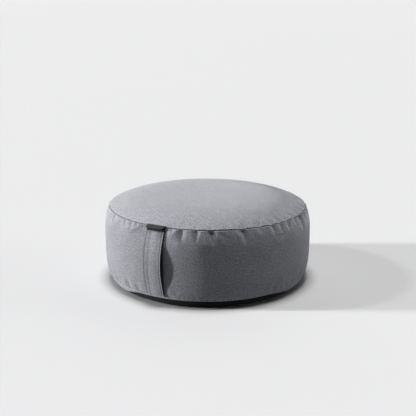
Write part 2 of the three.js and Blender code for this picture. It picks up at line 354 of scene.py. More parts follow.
def sag(angle):
    """How far the grey rim sags over the base's edge, in quarter-turn degrees: not at all on the front."""
    a = signed(angle)
    left = np.clip((SAG_LEFT - a) / SAG_LEFT_RUN, 0, 1)
    right = np.clip((a - SAG_RIGHT) / SAG_RIGHT_RUN, 0, 1)
    most = SAG_TURN + sum(depth * np.sin(np.radians(waves * a + phase)) for depth, waves, phase in SAG_WAVES)
    return most * (1 - fade(np.maximum(left, right)))


def base_shadow_spread(angle):
    """The base's floor radius: it bulges a little right of the handle, a black edge that stands in for the
    contact shadow there as painted shadow.
    """
    return BASE_FLOOR_RADIUS + SHADOW_SPREAD * fade(degrees_apart(angle, SHADOW_SPREAD_AT) / SHADOW_SPREAD_HALF_WIDTH)


# The filled body


def body_rows():
    """The rings of the body's profile from the crown to the base, as (radius, z), and each one's part."""
    rows, part = [], []

    def add(radius, z, kind):
        rows.append((radius, z))
        part.append(kind)

    for step in reversed(PANEL_STEPS):
        add(TOP_SEAM_RADIUS - step, crown_height(TOP_SEAM_RADIUS - step), PANEL)
    add(TOP_SEAM_RADIUS, TOP_SEAM_Z, BAND)
    for step in BAND_STEPS:
        add(float(band_radius(np.array(TOP_SEAM_Z - step))), TOP_SEAM_Z - step, BAND)
    add(BOTTOM_SEAM_RADIUS, BOTTOM_SEAM_Z, BAND)
    for share in RIM_STEPS:
        radius = BOTTOM_SEAM_RADIUS + (RIM_BOTTOM[0] - BOTTOM_SEAM_RADIUS) * share
        add(radius, BOTTOM_SEAM_Z + (RIM_BOTTOM[1] - BOTTOM_SEAM_Z) * share, UNDER)
    for radius, z in zip(*base_profile(BASE_THICKNESS + FIT_GAP, SKIRT_TURNS)):
        add(radius, z, SKIRT)
    return np.array(rows, float), np.array(part)


def body_profile():
    """The body's rings with their outward directions and signed distances from both seams."""
    rows, part = body_rows()
    along = np.gradient(rows, axis=0)
    along /= np.linalg.norm(along, axis=1)[:, None]
    length = running_length(rows)
    top = len(PANEL_STEPS)
    bottom = top + len(BAND_STEPS) + 1
    from_top, from_bottom = length - length[top], length - length[bottom]
    return Profile(rows[:, 0], rows[:, 1], -along[:, 1], along[:, 0], from_top, from_bottom, part)


def running_length(points):
    return np.concatenate([[0], np.cumsum(np.linalg.norm(np.diff(points, axis=0), axis=1))])


def folds(gathers, angle, distance, depth, reach):
    """How far gathers pull the cloth in: V-shaped valleys that narrow and lean away from the seam."""
    total = np.zeros((len(distance), len(angle)))
    run = distance[:, None]
    for g in gathers:
        share = np.clip(run / reach(g), 0, 1)
        centre = g.at + g.lean * share
        width = FOLD_WIDTH * g.half_width * (1 - FOLD_NARROWING * share)
        across = np.clip(1 - degrees_apart(angle[None, :], centre) / width, 0, 1) ** FOLD_ACROSS_POWER
        along = (1 - share) ** FOLD_ALONG_POWER * np.clip(run / FOLD_RISE, 0, 1) * (run >= 0)
        total += depth(g) * along * across
    return total


def all_folds(p, angle):
    """How far every gather and both seams pull each point of the body in."""
    top = with_back(FRONT_GATHERS, *BACK_GATHERS)
    low = with_back(LOW_FRONT_GATHERS, *LOW_BACK_GATHERS)
    below_top = np.where(p.part == BAND, p.from_top, -1)
    above_bottom = np.where(p.part == BAND, -p.from_bottom, -1)
    on_panel = np.where(p.part == PANEL, -p.from_top, -1)
    pulled = folds(top, angle, below_top, lambda g: TOP_PULL * g.depth, lambda g: g.reach)
    pulled += folds(low, angle, above_bottom, lambda g: LOW_PULL * g.depth, lambda g: g.reach)
    pulled += folds(top, angle, on_panel, lambda g: PANEL_PULL * g.panel_depth, lambda g: PANEL_REACH)
    pulled += bell(p.from_top, *TOP_GROOVE)[:, None]
    pulled += bell(p.from_bottom, *BOTTOM_GROOVE)[:, None]
    pulled += bell(p.from_top, *TOP_LIP)[:, None]
    return pulled


def tilt(p, angle):
    """How far the top seam's tilt lifts each point of the body."""
    lift = TOP_SEAM_TILT * np.cos(np.radians(angle - TOP_SEAM_HIGHEST_AT))
    up_the_band = np.clip((p.z - BOTTOM_SEAM_Z) / (TOP_SEAM_Z - BOTTOM_SEAM_Z), 0, 1)
    share = np.where(p.part == PANEL, (p.radius / TOP_SEAM_RADIUS) ** 2, up_the_band)
    return share[:, None] * lift[None, :]


def puff(p, angle):
    around = fade(degrees_apart(angle, PUFF_AT) / PUFF_HALF_WIDTH)
    down = fade(np.abs(p.from_top - PUFF_BELOW_SEAM) / PUFF_REACH)
    return PUFF * around[None, :] * down[:, None]


def body_points():
    """Points of the filled body, rings by columns, with its profile and its columns' angles."""
    p = body_profile()
    angle = np.arange(COLUMNS) * 360 / COLUMNS
    pulled = all_folds(p, angle)
    radius = p.radius[:, None] - pulled * p.out_radius[:, None]
    z = p.z[:, None] - pulled * p.out_z[:, None] + tilt(p, angle)
    on_band = (p.part == BAND)[:, None]
    radius = radius + (puff(p, angle) - pressed_in(angle[None, :], p.z[:, None])) * on_band
    turns = np.array(SKIRT_TURNS)[:, None]
    off_the_base = fade((turns - sag(angle)[None, :]) / SKIRT_TURNS[1] + 1)
    inset = (BASE_THICKNESS + FIT_GAP) * (1 - off_the_base)
    radius[p.part == SKIRT], z[p.part == SKIRT] = base_profile(inset, turns)
    x = radius * np.sin(np.radians(angle))[None, :]
    y = -radius * np.cos(np.radians(angle))[None, :]
    return np.stack([x, y, z], -1) * MM, p, angle


def ring_faces(rings, columns):
    """Quads between rings of points, seen from outside, the rings running from the top down."""
    faces = []
    for i in range(rings - 1):
        for j in range(columns):
            k = (j + 1) % columns
            faces.append((i * columns + j, (i + 1) * columns + j, (i + 1) * columns + k, i * columns + k))
    return faces


def cap_faces(outer, outer_columns, rings, middle, above):
    """Faces from an outer ring in to a middle point, over rings of (first vertex, columns) that may halve."""
    faces = []
    for inner, columns in rings:
        step = outer_columns // columns
        for k in range(columns):
            rim = [outer + (k * step + n) % outer_columns for n in range(step + 1)]
            face = [inner + k, *rim, inner + (k + 1) % columns]
            faces.append(tuple(face if above else reversed(face)))
        outer, outer_columns = inner, columns
    for k in range(outer_columns):
        face = (middle, outer + k, outer + (k + 1) % outer_columns)
        faces.append(face if above else tuple(reversed(face)))
    return faces


def cap_points(cap, height):
    """Points in metres of a cap's rings, at the height that a function of the radius gives."""
    rings = []
    for radius, columns in cap:
        turn = np.arange(columns) * 2 * math.pi / columns
        z = np.full(columns, height(radius))
        rings.append(np.stack([radius * np.sin(turn), -radius * np.cos(turn), z], 1))
    return np.concatenate(rings) * MM


def cap_starts(caps, first):
    """Each ring's (first vertex, columns), where the caps' points follow one another, and the next vertex."""
    starts = []
    for _, columns in caps:
        starts.append((first, columns))
        first += columns
    return starts, first


def new_mesh(name, points, faces):
    mesh = bpy.data.meshes.new(name)
    mesh.from_pydata([tuple(p) for p in points], [], faces)
    mesh.update()
    piece = bpy.data.objects.new(name, mesh)
    bpy.context.scene.collection.objects.link(piece)
    mesh.polygons.foreach_set("use_smooth", [True] * len(mesh.polygons))
    return piece


def filled_cushion():
    """The filled body's mesh before it is filled, with its points, profile, angles and each face's part."""
    points, p, angle = body_points()
    rings = len(p.radius)
    under_z = BASE_THICKNESS + FIT_GAP
    faces = ring_faces(rings, COLUMNS)
    body = len(faces)
    middles = np.array([(0, 0, HEIGHT * MM), (0, 0, under_z * MM)])
    caps = [cap_points(CROWN_CAP, crown_height), cap_points(UNDER_CAP, lambda radius: under_z)]
    starts, first = cap_starts(CROWN_CAP + UNDER_CAP, rings * COLUMNS)
    split = len(CROWN_CAP)
    faces += cap_faces(0, COLUMNS, starts[:split], first, True)
    crown_end = len(faces)
    faces += cap_faces((rings - 1) * COLUMNS, COLUMNS, starts[split:], first + 1, False)
    piece = new_mesh("filled_cushion", np.concatenate([points.reshape(-1, 3), *caps, middles]), faces)
    top = len(PANEL_STEPS)
    bottom = top + len(BAND_STEPS) + 1
    ring = np.arange(body) // COLUMNS
    part = np.where(ring < top, PANEL, np.where(ring < bottom, BAND, UNDER))
    part = np.concatenate([part, np.full(crown_end - body, PANEL), np.full(len(faces) - crown_end, UNDER)])
    return piece, points, p, angle, part


def slack(p, angle):
    """How much wider than its seams the cloth is cut. The panel has more of it on the right."""
    on_band = p.part == BAND
    wide = bell(p.from_top, TOP_SLACK[0], 0, TOP_SLACK[1]) * on_band
    wide += bell(p.from_bottom, BOTTOM_SLACK[0], 0, BOTTOM_SLACK[1]) * on_band
    on_panel = bell(p.from_top, PANEL_SLACK[0], 0, PANEL_SLACK[1]) * (p.part == PANEL)
    right = fade((degrees_apart(angle, SLACK_FULL_AT) - SLACK_FULL_WITHIN) / SLACK_FADE)
    return wide[:, None] + on_panel[:, None] * (PANEL_SLACK_LEFT + (1 - PANEL_SLACK_LEFT) * right)


def add_cloth(piece, p, angle):
    """Gives the body a cloth simulation that holds its seams, crown and underside."""
    rings = len(p.radius)
    near = np.minimum(np.abs(p.from_top), np.abs(p.from_bottom))
    free = np.clip((near - HELD_BY_SEAM) / HELD_FADE, 0, 1)
    free[(p.part >= UNDER) | (p.radius < HELD_CROWN_RADIUS)] = 0
    wide = slack(p, angle)
    held = piece.vertex_groups.new(name="held")
    even = piece.vertex_groups.new(name="even")
    for i in range(rings):
        indices = list(range(i * COLUMNS, (i + 1) * COLUMNS))
        held.add(indices, float(1 - free[i]), "REPLACE")
        for j, index in enumerate(indices):
            even.add([index], float(1 - wide[i, j] / MOST_SLACK), "REPLACE")
    held.add(list(range(rings * COLUMNS, len(piece.data.vertices))), 1.0, "REPLACE")
    cloth = piece.modifiers.new("fill", "CLOTH")
    s = cloth.settings
    s.quality = 6
    s.mass = 0.3
    s.tension_stiffness = s.compression_stiffness = 25
    s.shear_stiffness = 8
    s.bending_stiffness = 0.8
    s.tension_damping = s.compression_damping = s.shear_damping = 10
    s.bending_damping = 0.5
    s.air_damping = 2
    s.use_pressure = True
    s.uniform_pressure_force = 4
    s.effector_weights.gravity = 0
    s.vertex_group_mass = "held"
    s.pin_stiffness = 1
    s.vertex_group_shrink = "even"
    s.shrink_min = -MOST_SLACK
    s.shrink_max = 0.0
    return cloth


def settle(piece, p, angle):
    """Fills the cover by cloth simulation, and returns where its vertices end."""
    cloth = add_cloth(piece, p, angle)
    scene = bpy.context.scene
    scene.frame_start, scene.frame_end = 1, FILL_FRAMES
    cloth.point_cache.frame_start, cloth.point_cache.frame_end = 1, FILL_FRAMES
    for number in range(1, FILL_FRAMES + 1):
        scene.frame_set(number)
    evaluated = piece.evaluated_get(bpy.context.evaluated_depsgraph_get())
    co = np.empty(len(piece.data.vertices) * 3, np.float32)
    evaluated.data.vertices.foreach_get("co", co)
    scene.frame_set(1)
    piece.modifiers.remove(cloth)
    piece.vertex_groups.clear()
    return co.reshape(-1, 3)


def apply_settled(points, p, angle, settled):
    """Keeps the measured profile: only each ring's unevenness comes from the simulation, and it is capped."""
    rings = len(p.radius)
    moved = settled[: rings * COLUMNS].reshape(rings, COLUMNS, 3) - points
    turn = np.radians(angle)
    out = np.stack([np.sin(turn), -np.cos(turn), np.zeros_like(turn)], -1)
    radial = (moved * out).sum(-1)
    radial -= radial.mean(1, keepdims=True)
    rise = moved[..., 2] - moved[..., 2].mean(1, keepdims=True)
    size = np.hypot(radial, rise)
    scale = np.minimum(1, MOST_SETTLING * MM / np.maximum(size, 1e-9))
    end = points + (radial * scale)[..., None] * out
    end[..., 2] += rise * scale
    return end


def keep_behind_handle(points, angle):
    """Keeps the band clear of the handle's inner face."""
    z = points[..., 2] / MM
    flat = np.linalg.norm(points[..., :2], axis=-1) / MM
    outer = handle_radius(np.clip(z, HANDLE_BOTTOM[1], HANDLE_TOP[1]))
    inner = outer - HANDLE_THICKNESS - HANDLE_CLEARANCE
    near = beside_handle(angle, CLEAR_FADE)[None, :] * ((z > CLEAR_FROM_Z) & (z < CLEAR_TO_Z))
    factor = 1 - np.maximum(flat - inner, 0) * near / flat
    points[..., 0] *= factor
    points[..., 1] *= factor
    return points


# Cloth coordinates. The layer "cloth" is the place on the cloth in metres. The layer "seam" has the distance
# from the nearest seam in metres, and how much painted shade darkens the cloth, from 0 to 1


def set_uv(piece, values, name="cloth"):
    layer = piece.data.uv_layers.new(name=name)
    layer.data.foreach_set("uv", values.astype(np.float32).ravel())


def corners(piece):
    """The vertex, face and face's first corner of each face corner."""
    mesh = piece.data
    vertex = np.empty(len(mesh.loops), np.int32)
    mesh.loops.foreach_get("vertex_index", vertex)
    starts = np.empty(len(mesh.polygons), np.int32)
    totals = np.empty(len(mesh.polygons), np.int32)
    mesh.polygons.foreach_get("loop_start", starts)
    mesh.polygons.foreach_get("loop_total", totals)
    return vertex, np.repeat(np.arange(len(starts)), totals), starts


def cushion_uv(piece, p, part):
    """The panels are discs and the band is a strip, each with its own weave."""
    vertex, face, starts = corners(piece)
    co = np.array([v.co for v in piece.data.vertices]) / MM
    in_caps = len(co) - len(p.radius) * COLUMNS
    around = np.degrees(np.arctan2(co[:, 0], -co[:, 1])) % 360
    length = np.concatenate([np.repeat(p.from_top, COLUMNS), np.zeros(in_caps)])
    at = around[vertex]
    wraps = np.maximum.reduceat(at, starts)[face] - at > 180
    band = np.stack([np.radians(at + 360 * wraps) * WIDEST_RADIUS, length[vertex]], 1)
    flat = np.linalg.norm(co[:, :2], axis=1)
    stretched = flat * (1 + PANEL_STRETCH * (flat / TOP_SEAM_RADIUS) ** 4)
    turn = np.radians(around + PANEL_WEAVE_TURN)
    disc = np.stack([stretched * np.sin(turn), stretched * np.cos(turn)], 1)[vertex]
    disc[:, 1] += np.where(part[face] == PANEL, PANEL_CLOTH_AT, UNDER_CLOTH_AT)
    set_uv(piece, np.where((part[face] == BAND)[:, None], band, disc) * MM)
    cushion_seam_uv(piece, p, vertex, at, co[:, 2][vertex])


def cushion_seam_uv(piece, p, vertex, at, height):
    """The bottom seam is fainter to the right of the handle, and painted shade darkens the band behind the
    handle.
    """
    far = np.full(len(piece.data.vertices) - len(p.radius) * COLUMNS, FAR_FROM_SEAM)
    from_top, from_bottom = [
        np.concatenate([np.repeat(np.abs(run), COLUMNS), far])[vertex] for run in (p.from_top, p.from_bottom)
    ]
    fainter = BOTTOM_SEAM_FAINT + BOTTOM_SEAM_FAINTER * (1 - fade(signed(at) / FAINTER_FROM_0_TO))
    from_bottom = from_bottom + fainter
    # Painted shade on the band behind the handle, where the handle shades it
    behind = fade((degrees_apart(at, 0) - PAINTED_SHADE_HALF_ANGLE) / PAINTED_SHADE_FADE)
    behind *= fade((height - PAINTED_SHADE_TOP[0]) / PAINTED_SHADE_TOP[1])
    behind *= fade((PAINTED_SHADE_BOTTOM[0] - height) / PAINTED_SHADE_BOTTOM[1])
    set_uv(piece, np.stack([np.minimum(from_top, from_bottom) * MM, behind], 1), "seam")


# The handle and the tab


def strip(name, sections):
    """A piece from closed sections of points, each with the same count."""
    count = len(sections[0])
    points = [tuple(q * MM) for section in sections for q in section]
    faces = []
    for i in range(len(sections) - 1):
        for j in range(count):
            k = (j + 1) % count
            faces.append((i * count + j, i * count + k, (i + 1) * count + k, (i + 1) * count + j))
    faces.append(tuple(reversed(range(count))))
    faces.append(tuple(range((len(sections) - 1) * count, len(sections) * count)))
    return new_mesh(name, points, faces)


def strip_uv(piece, section, along):
    """Cloth coordinates of a strip, from its section and the distance along it of each section."""
    across = running_length(np.array(section))
    count = len(across)
    corner, face, starts = corners(piece)
    j = corner % count
    highest = np.maximum.reduceat(j, starts)[face]
    past_the_end = across[-1] + (across[1] - across[0])
    u = np.where((highest == count - 1) & (j == 0), past_the_end, across[j])
    set_uv(piece, np.stack([u, along[corner // count]], 1) * MM)


def strap_relief(u, t):
    """How far the handle's outer face stands out, at u across it and t along it."""
    half = HANDLE_WIDTH / 2
    stitched = bell(u, 1, -half + LEFT_STITCH, STITCH_GROOVE_HALF_WIDTH)
    stitched += bell(u, 1, half - RIGHT_STITCH, STITCH_GROOVE_HALF_WIDTH)
    pucker = STITCH_PUCKER * np.sin(t * STITCHED_LENGTH / STITCH_PITCH * 2 * math.pi)
    top_bulge = bell(t, *TOP_BULGE_ALONG) * bell(u, *TOP_BULGE_ACROSS)
    return bell(u, *STRAP_RIDGE) - bell(u, *STRAP_VALLEY) + top_bulge - (STITCH_GROOVE + pucker) * stitched


def strap_frame(t):
    """Middle of the handle's thickness at a share of its length, and the way out, as (radius, z)."""
    z = HANDLE_TOP[1] + (HANDLE_BOTTOM[1] - HANDLE_TOP[1]) * t
    step = 0.5
    rise = float(handle_radius(np.array(z - step)) - handle_radius(np.array(z + step)))
    run = np.array([rise, -2 * step])
    run /= np.linalg.norm(run)
    out = np.array([-run[1], run[0]])
    middle = np.array([float(handle_radius(np.array(z))), z]) - out * HANDLE_THICKNESS / 2
    return middle, out


def strap_point(t, u, off):
    """A point at t along the handle, u across it and off its middle. Its ends bend with the band."""
    middle, out = strap_frame(t)
    bend = 1 - math.sin(math.pi * t)
    drop = bend * u**2 / (2 * WIDEST_RADIUS)
    return np.array([u, -(middle[0] + out[0] * off - drop), middle[1] + out[1] * off])


def strap_section():
    """The handle's section as (u, off, whether it is on the outer face), with round edges."""
    half = HANDLE_WIDTH / 2
    edge = HANDLE_THICKNESS / 2
    outer_u = np.linspace(-half + edge, half - edge, STRAP_ACROSS)
    round_edge = [(edge * math.cos(radians(a)), edge * math.sin(radians(a))) for a in ROUND_EDGE_TURNS]
    section = [(u, edge, True) for u in outer_u]
    section += [(half - edge + du, off, False) for du, off in round_edge]
    section += [(u, -edge, False) for u in outer_u[::-STRAP_INNER_STEP]]
    section += [(-half + edge - du, off, False) for du, off in round_edge[::-1]]
    return section


def handle_strap():
    section = strap_section()
    shares = np.linspace(0, 1, STRAP_STATIONS)
    sections = []
    for t in shares:
        ring = [strap_point(t, u, off + (strap_relief(u, t) if face else 0)) for u, off, face in section]
        sections.append(ring)
    sewn_in = np.array([0, HANDLE_SEWN_IN, 0])
    sections.insert(0, [q + sewn_in for q in sections[0]])
    sections.append([q + sewn_in for q in sections[-1]])
    piece = strip("handle_strap", sections)
    along = np.concatenate([[-HANDLE_SEWN_IN], shares * HANDLE_LENGTH, [HANDLE_LENGTH + HANDLE_SEWN_IN]])
    strip_uv(piece, [(u, off) for u, off, _ in section], along)
    strap_seam_uv(piece, section, along)
    return piece


def strap_seam_uv(piece, section, along):
    """The left row of stitches is fainter, and painted shade darkens the inner face and the end under the
    tab.
    """
    half = HANDLE_WIDTH / 2
    u = np.array([u for u, _, _ in section])
    from_left = np.abs(u + half - LEFT_STITCH) + LEFT_STITCH_FAINTER
    from_stitch = np.minimum(from_left, np.abs(u - half + RIGHT_STITCH))
    inner = np.array([0.0 if face else 1.0 for _, _, face in section])
    under_tab_painted_shade = fade((along - UNDER_TAB_SHADE_LENGTH) / UNDER_TAB_SHADE_FADE)
    corner, _, _ = corners(piece)
    painted_shade = np.maximum(inner[corner % len(section)], under_tab_painted_shade[corner // len(section)])
    set_uv(piece, np.stack([from_stitch[corner % len(section)] * MM, painted_shade], 1), "seam")


def stitch_points(run, points, outs, middle):
    """Points of one stitch round the middle of its run along a line. Its ends go down into the cloth."""
    at = []
    for share, _ in STITCH_RINGS:
        at.append(np.array([np.interp(middle + share * STITCH_LENGTH, run, points[:, i]) for i in range(3)]))
    out = np.array([np.interp(middle, run, outs[:, i]) for i in range(3)])
    out /= np.linalg.norm(out)
    ahead = at[-1] - at[0]
    ahead /= np.linalg.norm(ahead)
    side = np.cross(ahead, out)
    made = []
    for (share, size), q in zip(STITCH_RINGS, at):
        q = q - out * THREAD_RADIUS * STITCH_SINK * abs(2 * share) ** 3
        for k in range(STITCH_SIDES):
            a = 2 * math.pi * k / STITCH_SIDES
            made.append(tuple((q + THREAD_RADIUS * size * (math.cos(a) * side + math.sin(a) * out)) * MM))
    return made


def stitch_faces(first):
    faces = []
    rings = len(STITCH_RINGS)
    for i in range(rings - 1):
        lower, upper = first + i * STITCH_SIDES, first + (i + 1) * STITCH_SIDES
        for k in range(STITCH_SIDES):
            m = (k + 1) % STITCH_SIDES
            faces.append((lower + k, upper + k, upper + m, lower + m))
    faces.append(tuple(first + k for k in range(STITCH_SIDES)))
    faces.append(tuple(first + (rings - 1) * STITCH_SIDES + k for k in reversed(range(STITCH_SIDES))))
    return faces


def strap_stitching(name, u):
    """A row of stitches along the handle, at u across it, as one mesh."""
    points, outs = [], []
    for t in np.linspace(*STITCHED_SHARES, STITCH_LINE_POINTS):
        _, out = strap_frame(t)
        points.append(strap_point(t, u, HANDLE_THICKNESS / 2 + strap_relief(u, t) + THREAD_LIFT))
        outs.append(np.array([0, -out[0], out[1]]))
    points, outs = np.array(points), np.array(outs)
    run = running_length(points)
    all_points, faces = [], []
    for n in range(int(run[-1] / STITCH_PITCH)):
        faces += stitch_faces(len(all_points))
        all_points += stitch_points(run, points, outs, (n + 0.5) * STITCH_PITCH)
    piece = new_mesh(name, all_points, faces)
    piece.data.uv_layers.new(name="cloth")
    return piece


def smooth_line(points, count):
    """Points spaced evenly along a smooth line through the given ones, and the length up to each."""
    points = np.array(points, float)
    ends = np.concatenate([[2 * points[0] - points[1]], points, [2 * points[-1] - points[-2]]])
    out = []
    for i in range(len(points) - 1):
        a, b, c, d = ends[i : i + 4]
        for k in np.linspace(0, 1, CURVE_STEPS, endpoint=False):
            square = (2 * a - 5 * b + 4 * c - d) * k**2
            cube = (3 * b - a - 3 * c + d) * k**3
            out.append(0.5 * (2 * b + (c - a) * k + square + cube))
    out.append(points[-1])
    out = np.array(out)
    run = running_length(out)
    even = np.linspace(0, run[-1], count)
    return np.stack([np.interp(even, run, out[:, 0]), np.interp(even, run, out[:, 1])], 1), even


def tab_section(right):
    """The tab's section as (u, off) from its left edge to its right one and back, with round edges."""
    edge = TAB_THICKNESS / 2
    us = np.linspace(-TAB_WIDTH / 2 + edge, right - edge, TAB_COLUMNS)
    section = []
    for side, row in ((1, us), (-1, us[::-1])):
        section += [(u, side * edge) for u in row]
        for a in TAB_ROUND_EDGE[::side]:
            section.append((row[-1] + side * edge * math.cos(radians(a)), edge * math.sin(radians(a))))
    return section


def folded_tab():
    """The tab's tape, folded over. Its right edge slants in towards the fold."""
    line, run = smooth_line(TAB_LINE, TAB_STATIONS)
    line[:, 1] += TOP_SEAM_TILT * math.cos(radians(TOP_SEAM_HIGHEST_AT))
    along = np.gradient(line, axis=0)
    along /= np.linalg.norm(along, axis=1)[:, None]
    low = line[:, 1].min()
    sections = []
    for (radius, z), (dr, dz) in zip(line, along):
        down = (line[0, 1] - z) / (line[0, 1] - low)
        section = tab_section(TAB_RIGHT - TAB_BEVEL * max(down, 0))
        ring = []
        for u, off in section:
            r, h = radius - dz * off, z + dr * off
            a = u / TAB_BEND_RADIUS
            ring.append(np.array([r * math.sin(a), -r * math.cos(a), h]))
        sections.append(ring)
    piece = strip("folded_tab", sections[::-1])
    strip_uv(piece, section, run[::-1])
    # Painted shade: the tab's layer that faces down is darkened, and its top beside the seam a little
    downward_painted_shade = fade((along[::-1, 0] + 0.3) / 0.4)
    shade, length, fade_run = TAB_TOP_SHADE
    painted_shade = np.maximum(downward_painted_shade, shade * fade((run[::-1] - length) / fade_run))
    corner, _, _ = corners(piece)
    painted_shade = painted_shade[corner // len(section)]
    set_uv(piece, np.stack([np.full(len(painted_shade), NO_SEAM_NEAR), painted_shade], 1), "seam")
    return piece


def base_cloth():
    """The shallow dish of non-slip cloth under the body. Its wall is low where the grey rim sags over it.
    Right of the handle its black edge reaches out as painted shadow.
    """
    columns = BASE_COLUMNS
    angle = np.arange(columns) * 360 / columns
    turn = np.radians(angle)
    sagging = sag(angle)
    shadow_spread = base_shadow_spread(angle)

    def wall(inset, degrees):
        return base_profile(inset, sagging + (90 - sagging) * degrees / 90, shadow_spread)

    outer_rim, inner_rim = wall(0, 0), wall(BASE_THICKNESS, 0)
    lip = ((outer_rim[0] + inner_rim[0]) / 2, (outer_rim[1] + inner_rim[1]) / 2 + BASE_LIP_RISE)
    profile = [(np.full(columns, BASE_INNER_FLAT), np.full(columns, BASE_THICKNESS))]
    profile += [wall(BASE_THICKNESS, degrees) for degrees in BASE_INNER_TURNS]
    profile.append(lip)
    profile += [wall(0, degrees) for degrees in BASE_OUTER_TURNS]
    profile.append((np.full(columns, BASE_OUTER_FLAT), np.zeros(columns)))
    rows = [np.stack([radius * np.sin(turn), -radius * np.cos(turn), z], 1) * MM for radius, z in profile]
    caps = [cap_points(BASE_CAP, lambda radius: BASE_THICKNESS), cap_points(BASE_CAP, lambda radius: 0)]
    middles = np.array([(0, 0, BASE_THICKNESS * MM), (0, 0, 0)])
    starts, first = cap_starts(BASE_CAP * 2, len(rows) * columns)
    split = len(BASE_CAP)
    faces = ring_faces(len(rows), columns)
    faces += cap_faces(0, columns, starts[:split], first, True)
    faces += cap_faces((len(rows) - 1) * columns, columns, starts[split:], first + 1, False)
    piece = new_mesh("base_cloth_dish", np.concatenate([*rows, *caps, middles]), faces)
    co = np.array([v.co for v in piece.data.vertices])
    set_uv(piece, co[corners(piece)[0]][:, :2])
    return piece


# Materials

GREY = (0.184, 0.188, 0.2025)
THREAD_GREY = (0.15, 0.155, 0.163)
TAPE_CHARCOAL = (0.027, 0.029, 0.032)
BASE_BLACK = (0.012, 0.012, 0.013)

# Sizes of the cloth's unevenness in metres, and how much lighter or darker each kind makes it
YARN_LENGTH_SHARE = 0.06
YARN_GRAIN = 0.0013
YARN_CONTRAST = 0.2
SPECK_GRAIN = 0.0014
SPECK_CONTRAST = 0.52
CLOUD_GRAIN = 0.05
CLOUD_CONTRAST = 0.03
# Painted shade in the weave: darker in its hollows and a little lighter on its crests
WEAVE_PAINTED_SHADE = (0.82, 1.04)
MORE_ON_PANELS = 0.42
FINE_NOISE = (0.25, 0.75)  # the range that the noise is read over
CLOUD_NOISE = (0.3, 0.7)
ROUGHNESS = (0.2, 0.8, 0.82, 0.96)  # from the specks' range to the cloth's
FUZZ_HEIGHT = 0.6

# Tones in and beside the seams, by distance in metres
SEAM_DARK_RUN = (0.0003, 0.0014)
SEAM_LIP_RUN = (0.002, 0.006)
# Painted light: the panel is lighter towards its edge, standing in for softer light from the front
PANEL_EDGE_PAINTED_LIGHT_RUN = (0.01, 0.06)
PANEL_EDGE_PAINTED_LIGHT = 0.08
# The tone of painted shade, where the handle and tab shade the cloth
PAINTED_SHADE_TONE = 0.05


class Graph:
    """A material's nodes, built call by call."""

    def __init__(self, name):
        self.material = bpy.data.materials.new(name)
        self.material.use_nodes = True
        self.tree = self.material.node_tree
        self.shader = self.tree.nodes["Principled BSDF"]

    def node(self, kind, **settings):
        made = self.tree.nodes.new(kind)
        for key, value in settings.items():
            setattr(made, key, value)
        return made

    def put(self, value, socket):
        if hasattr(value, "is_output"):
            self.tree.links.new(value, socket)
        else:
            socket.default_value = value

    def math(self, operation, *values):
        made = self.node("ShaderNodeMath", operation=operation)
        for value, socket in zip(values, made.inputs):
            self.put(value, socket)
        return made.outputs[0]

    def times(self, *values):
        """The product of two or more values."""
        product = values[0]
        for value in values[1:]:
            product = self.math("MULTIPLY", product, value)
        return product

    def split(self, vector):
        made = self.node("ShaderNodeSeparateXYZ")
        self.put(vector, made.inputs[0])
        return made.outputs

    def layer(self, name):
        return self.node("ShaderNodeUVMap", uv_map=name).outputs[0]

    def cloth_place(self, scale=(1, 1, 1), turn=0):
        mapping = self.node("ShaderNodeMapping")
        mapping.inputs["Scale"].default_value = scale
        mapping.inputs["Rotation"].default_value = (0, 0, turn)
        self.put(self.layer("cloth"), mapping.inputs["Vector"])
        return mapping.outputs[0]

    def noise(self, place, grain, detail, roughness):
        made = self.node("ShaderNodeTexNoise", noise_dimensions="2D")
        self.put(place, made.inputs["Vector"])
        made.inputs["Scale"].default_value = 1 / grain
        made.inputs["Detail"].default_value = detail
        made.inputs["Roughness"].default_value = roughness
        return made.outputs["Fac"]

    def mix(self, share, a, b):
        made = self.node("ShaderNodeMix", data_type="RGBA", blend_type="MIX")
        for value, socket in zip((share, a, b), (made.inputs[0], made.inputs[6], made.inputs[7])):
            self.put(value, socket)
        return made.outputs[2]

    def map(self, value, low, high, to_low, to_high):
        made = self.node("ShaderNodeMapRange")
        for number, socket in zip((value, low, high, to_low, to_high), made.inputs):
            self.put(number, socket)
        return made.outputs[0]

    def contrast(self, value, low, high, amount):
        """A tone round 1 that a value between low and high makes darker or lighter."""
        return self.map(value, low, high, 1 - amount, 1 + amount)


def woven(graph, pitch):
    """Height of a plain weave, and which of its two yarns shows, from 0 to 1."""
    place = graph.cloth_place((1 / pitch, 1 / pitch, 1))
    waves = [graph.math("SINE", graph.times(run, math.pi)) for run in graph.split(place)[:2]]
    both = graph.times(*waves)
    height = graph.math("POWER", graph.math("ABSOLUTE", both), 0.5)
    return height, graph.map(both, -0.25, 0.25, 0, 1)


def seam_tone(graph, on_panel, dark, light):
    """Dark in seams, light on the lips beside them, lighter on the panel's edge as painted light, and darkest
    under painted shade.
    """
    from_seam, painted_shade, _ = graph.split(graph.layer("seam"))
    edge_painted_light = graph.times(on_panel, graph.map(from_seam, *PANEL_EDGE_PAINTED_LIGHT_RUN, PANEL_EDGE_PAINTED_LIGHT, 0))
    return graph.times(
        graph.map(from_seam, *SEAM_DARK_RUN, dark, light),
        graph.map(from_seam, *SEAM_LIP_RUN, 1, 1 / light),
        graph.map(painted_shade, 0, 1, 1, PAINTED_SHADE_TONE),
        graph.math("ADD", edge_painted_light, 1),
    )


